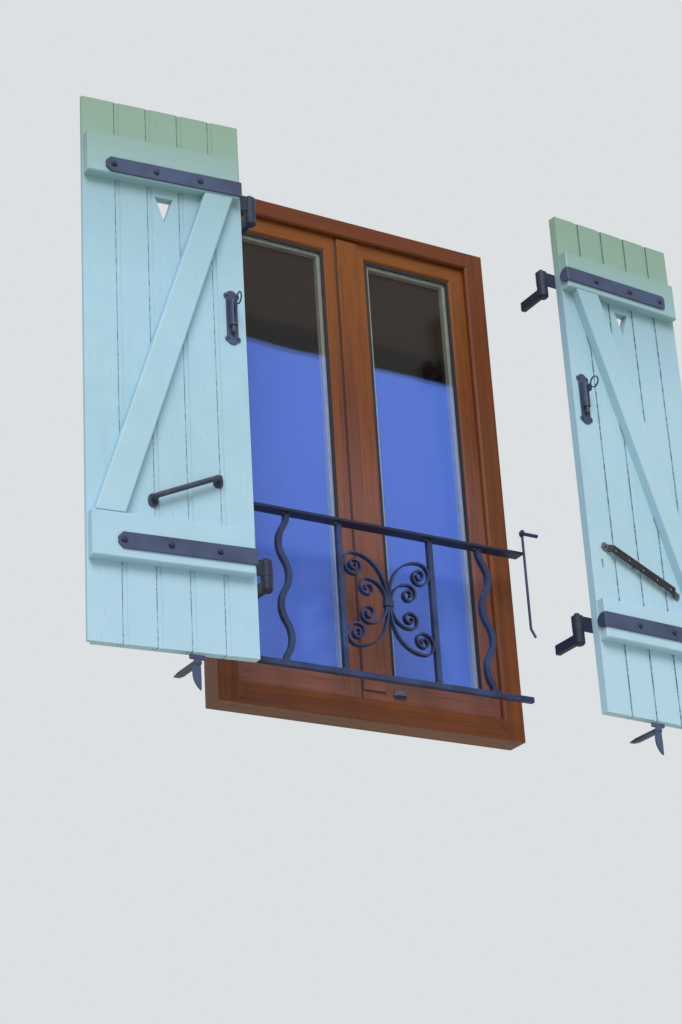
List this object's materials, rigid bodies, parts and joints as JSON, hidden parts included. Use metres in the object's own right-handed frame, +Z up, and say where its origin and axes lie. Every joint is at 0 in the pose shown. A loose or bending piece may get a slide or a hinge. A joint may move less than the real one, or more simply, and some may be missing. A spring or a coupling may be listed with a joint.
{
  "type": "window shutters",
  "caption": "Pair of ledged and braced wooden window shutters, swung open on strap hinges, with the casement window they cover and its wrought guard rail.",
  "frame": {"origin": "middle of the window frame's bottom face", "axes": "+X to the right as seen from outside, +Y into the room, +Z up"},
  "size_m": [1.8336, 0.4779, 1.559],
  "materials": {
    "shutter_paint": "satin mint green paint on softwood boards",
    "dark_iron": "dark slate grey forged iron, satin",
    "rusty_iron": "dark iron browned by rust",
    "window_wood": "red brown stained wood, satin",
    "bead_paint": "pale grey paint",
    "pane_glass": "clear sealed glass unit",
    "seal_rubber": "black sealing strip",
    "hinge_metal": "brown painted steel",
    "handle_metal": "satin anodised"
  },
  "bodies": {
    "wall_frame": {"frame_head": "window_wood", "frame_jamb_left": "window_wood", "frame_jamb_right": "window_wood", "frame_sill": "window_wood", "frame_hinges": "hinge_metal", "left_pintle_bottom": "dark_iron", "left_pintle_top": "dark_iron", "right_pintle_bottom": "dark_iron", "right_pintle_top": "dark_iron", "left_dog_spike": "dark_iron", "right_dog_spike": "dark_iron", "stay_hook_pin": "dark_iron", "guard_rails": "dark_iron", "guard_bars": "dark_iron", "guard_scrolls": "dark_iron"},
    "left_shutter": {"left_board_1": "shutter_paint", "left_board_2": "shutter_paint", "left_board_3": "shutter_paint", "left_board_4": "shutter_paint", "left_board_5": "shutter_paint", "left_ledger_bottom": "shutter_paint", "left_ledger_top": "shutter_paint", "left_brace": "shutter_paint", "left_strap_bottom": "dark_iron", "left_strap_top": "dark_iron", "left_eye_strap_bottom": "dark_iron", "left_eye_strap_top": "dark_iron", "left_fixings": "dark_iron", "left_latch_case": "dark_iron", "left_pull_handle": "dark_iron"},
    "left_latch": {"left_latch_bolt": "dark_iron"},
    "left_shutter_dog": {"left_dog": "dark_iron"},
    "left_leaf": {"left_sash": "window_wood", "left_glass": "pane_glass", "left_gasket": "seal_rubber", "left_glazing_beads": "bead_paint"},
    "right_shutter": {"right_board_1": "shutter_paint", "right_board_2": "shutter_paint", "right_board_3": "shutter_paint", "right_board_4": "shutter_paint", "right_board_5": "shutter_paint", "right_ledger_bottom": "shutter_paint", "right_ledger_top": "shutter_paint", "right_brace": "shutter_paint", "right_strap_bottom": "dark_iron", "right_strap_top": "dark_iron", "right_eye_strap_bottom": "dark_iron", "right_eye_strap_top": "dark_iron", "right_fixings": "dark_iron", "right_latch_case": "dark_iron", "right_stay_bar": "rusty_iron"},
    "right_latch": {"right_latch_bolt": "dark_iron"},
    "right_shutter_dog": {"right_dog": "dark_iron"},
    "right_leaf": {"right_sash": "window_wood", "right_glass": "pane_glass", "right_gasket": "seal_rubber", "right_glazing_beads": "bead_paint", "cover_strip": "window_wood"},
    "hook": {"stay_hook": "dark_iron"},
    "handle": {"window_handle": "handle_metal"}
  },
  "joints": [
    {"name": "left_shutter_hinge", "type": "hinge", "parent": "wall_frame", "child": "left_shutter", "pos_m": [-0.4555, -0.2994, 0.235], "axis": [0, 0, 1], "range_deg": [0, 185.28]},
    {"name": "left_latch_slide", "type": "slide", "parent": "left_shutter", "child": "left_latch", "axis": [0, 0, -1], "range_m": [0, 0.032], "stiffness_N_per_m": 300, "springref_m": -0.01},
    {"name": "left_dog_pivot", "type": "hinge", "parent": "wall_frame", "child": "left_shutter_dog", "pos_m": [-0.65828, -0.31481, -0.033], "axis": [0, 1, 0], "range_deg": [0, 180]},
    {"name": "left_leaf_hinge", "type": "hinge", "parent": "wall_frame", "child": "left_leaf", "pos_m": [-0.41, 0.0503, 0.7], "axis": [0, 0, 1], "range_deg": [0, 95]},
    {"name": "right_shutter_hinge", "type": "hinge", "parent": "wall_frame", "child": "right_shutter", "pos_m": [0.4555, -0.2994, 0.235], "axis": [0, 0, -1], "range_deg": [0, 183.98]},
    {"name": "right_latch_slide", "type": "slide", "parent": "right_shutter", "child": "right_latch", "axis": [0, 0, -1], "range_m": [0, 0.032], "stiffness_N_per_m": 300, "springref_m": -0.01},
    {"name": "right_dog_pivot", "type": "hinge", "parent": "wall_frame", "child": "right_shutter_dog", "pos_m": [0.65788, -0.3194, -0.033], "axis": [0, -1, 0], "range_deg": [0, 180]},
    {"name": "right_leaf_hinge", "type": "hinge", "parent": "wall_frame", "child": "right_leaf", "pos_m": [0.41, 0.0503, 0.7], "axis": [0, 0, -1], "range_deg": [0, 95]},
    {"name": "stay_hook_swing", "type": "hinge", "parent": "wall_frame", "child": "hook", "pos_m": [0.421, -0.146, 0.545], "axis": [-1, 0, 0], "range_deg": [0, 150]},
    {"name": "window_handle_turn", "type": "hinge", "parent": "right_leaf", "child": "handle", "pos_m": [0.01275, 0.0433, 0.64], "axis": [0, -1, 0], "range_deg": [0, 90]}
  ]
}
